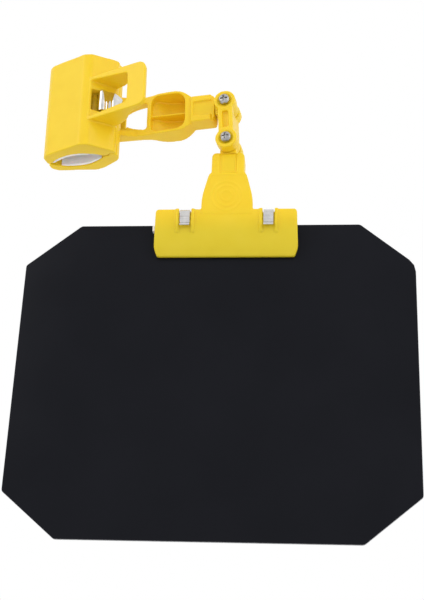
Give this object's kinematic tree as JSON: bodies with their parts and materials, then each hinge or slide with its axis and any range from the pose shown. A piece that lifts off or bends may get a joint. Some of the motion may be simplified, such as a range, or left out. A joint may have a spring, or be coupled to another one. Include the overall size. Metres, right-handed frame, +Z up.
{
  "type": "clip-on visor",
  "caption": "Black opaque sheet with cut-off corners held in a wide spring clip, joined by a jointed yellow plastic arm to a spring clamp for a pole or rail.",
  "frame": {"origin": "middle of the spring clamp's mouth, on the pole it would grip", "axes": "+Z up, across the hanging sheet's top edge; +X along the sheet's width, away from the clamp; +Y away from the viewer's side, across the sheet's thickness"},
  "size_m": [0.215, 0.0516, 0.2782],
  "materials": {
    "yellow_plastic": "injection-moulded, satin",
    "black_sheet": "smooth opaque sheet, glossy",
    "spring_steel": "bright zinc plating",
    "pale_rubber": "pale soft lining, matt"
  },
  "bodies": {
    "clamp": {"clamp_arm": "yellow_plastic", "back_jaw_pad": "pale_rubber", "clamp_spring": "spring_steel"},
    "jaw": {"front_jaw": "yellow_plastic", "front_jaw_pad": "pale_rubber"},
    "upper_swivel": {"upper_swivel": "yellow_plastic"},
    "link": {"link_body": "yellow_plastic", "screw_upper": "spring_steel", "nut_upper": "spring_steel", "screw_lower": "spring_steel", "nut_lower": "spring_steel"},
    "lower_swivel": {"lower_swivel": "yellow_plastic"},
    "clip": {"clip_front_plate": "yellow_plastic", "clip_front_pad": "pale_rubber", "clip_spring_left": "spring_steel", "clip_spring_right": "spring_steel"},
    "clip_back": {"clip_back_plate": "yellow_plastic", "clip_back_pad": "pale_rubber"},
    "sheet": {"visor_panel": "black_sheet"}
  },
  "joints": [
    {"name": "clamp_open", "type": "hinge", "parent": "clamp", "child": "jaw", "pos_m": [0.02154, -0.00446, 0.00054], "axis": [-0.0242, 0.0034, 0.9997], "range_deg": [0, 25], "stiffness_Nm_per_rad": 0.8, "springref_deg": -17.19, "deforming": ["clamp_spring"]},
    {"name": "upper_turn", "type": "hinge", "parent": "clamp", "child": "upper_swivel", "pos_m": [0.08689, -0.0009, 0.00211], "axis": [0.99, -0.1391, 0.0244], "continuous": true},
    {"name": "upper_elbow", "type": "hinge", "parent": "upper_swivel", "child": "link", "pos_m": [0.08689, -0.0009, 0.00211], "axis": [-0.1392, -0.9903, 0], "range_deg": [-6, 100]},
    {"name": "lower_elbow", "type": "hinge", "parent": "link", "child": "lower_swivel", "pos_m": [0.08862, -0.00114, -0.02283], "axis": [-0.1392, -0.9903, 0], "range_deg": [-15, 90]},
    {"name": "lower_turn", "type": "hinge", "parent": "lower_swivel", "child": "clip", "pos_m": [0.08862, -0.00114, -0.02283], "axis": [0, 0, 1], "continuous": true},
    {"name": "clip_open", "type": "hinge", "parent": "clip", "child": "clip_back", "pos_m": [0.08862, 0.00561, -0.06713], "axis": [1, 0, 0], "range_deg": [0, 18], "stiffness_Nm_per_rad": 0.6, "springref_deg": -17.19, "deforming": ["clip_spring_left", "clip_spring_right"]},
    {"name": "sheet_pull", "type": "slide", "parent": "clip", "child": "sheet", "axis": [0, 0, -1], "range_m": [0, 0.025]}
  ]
}
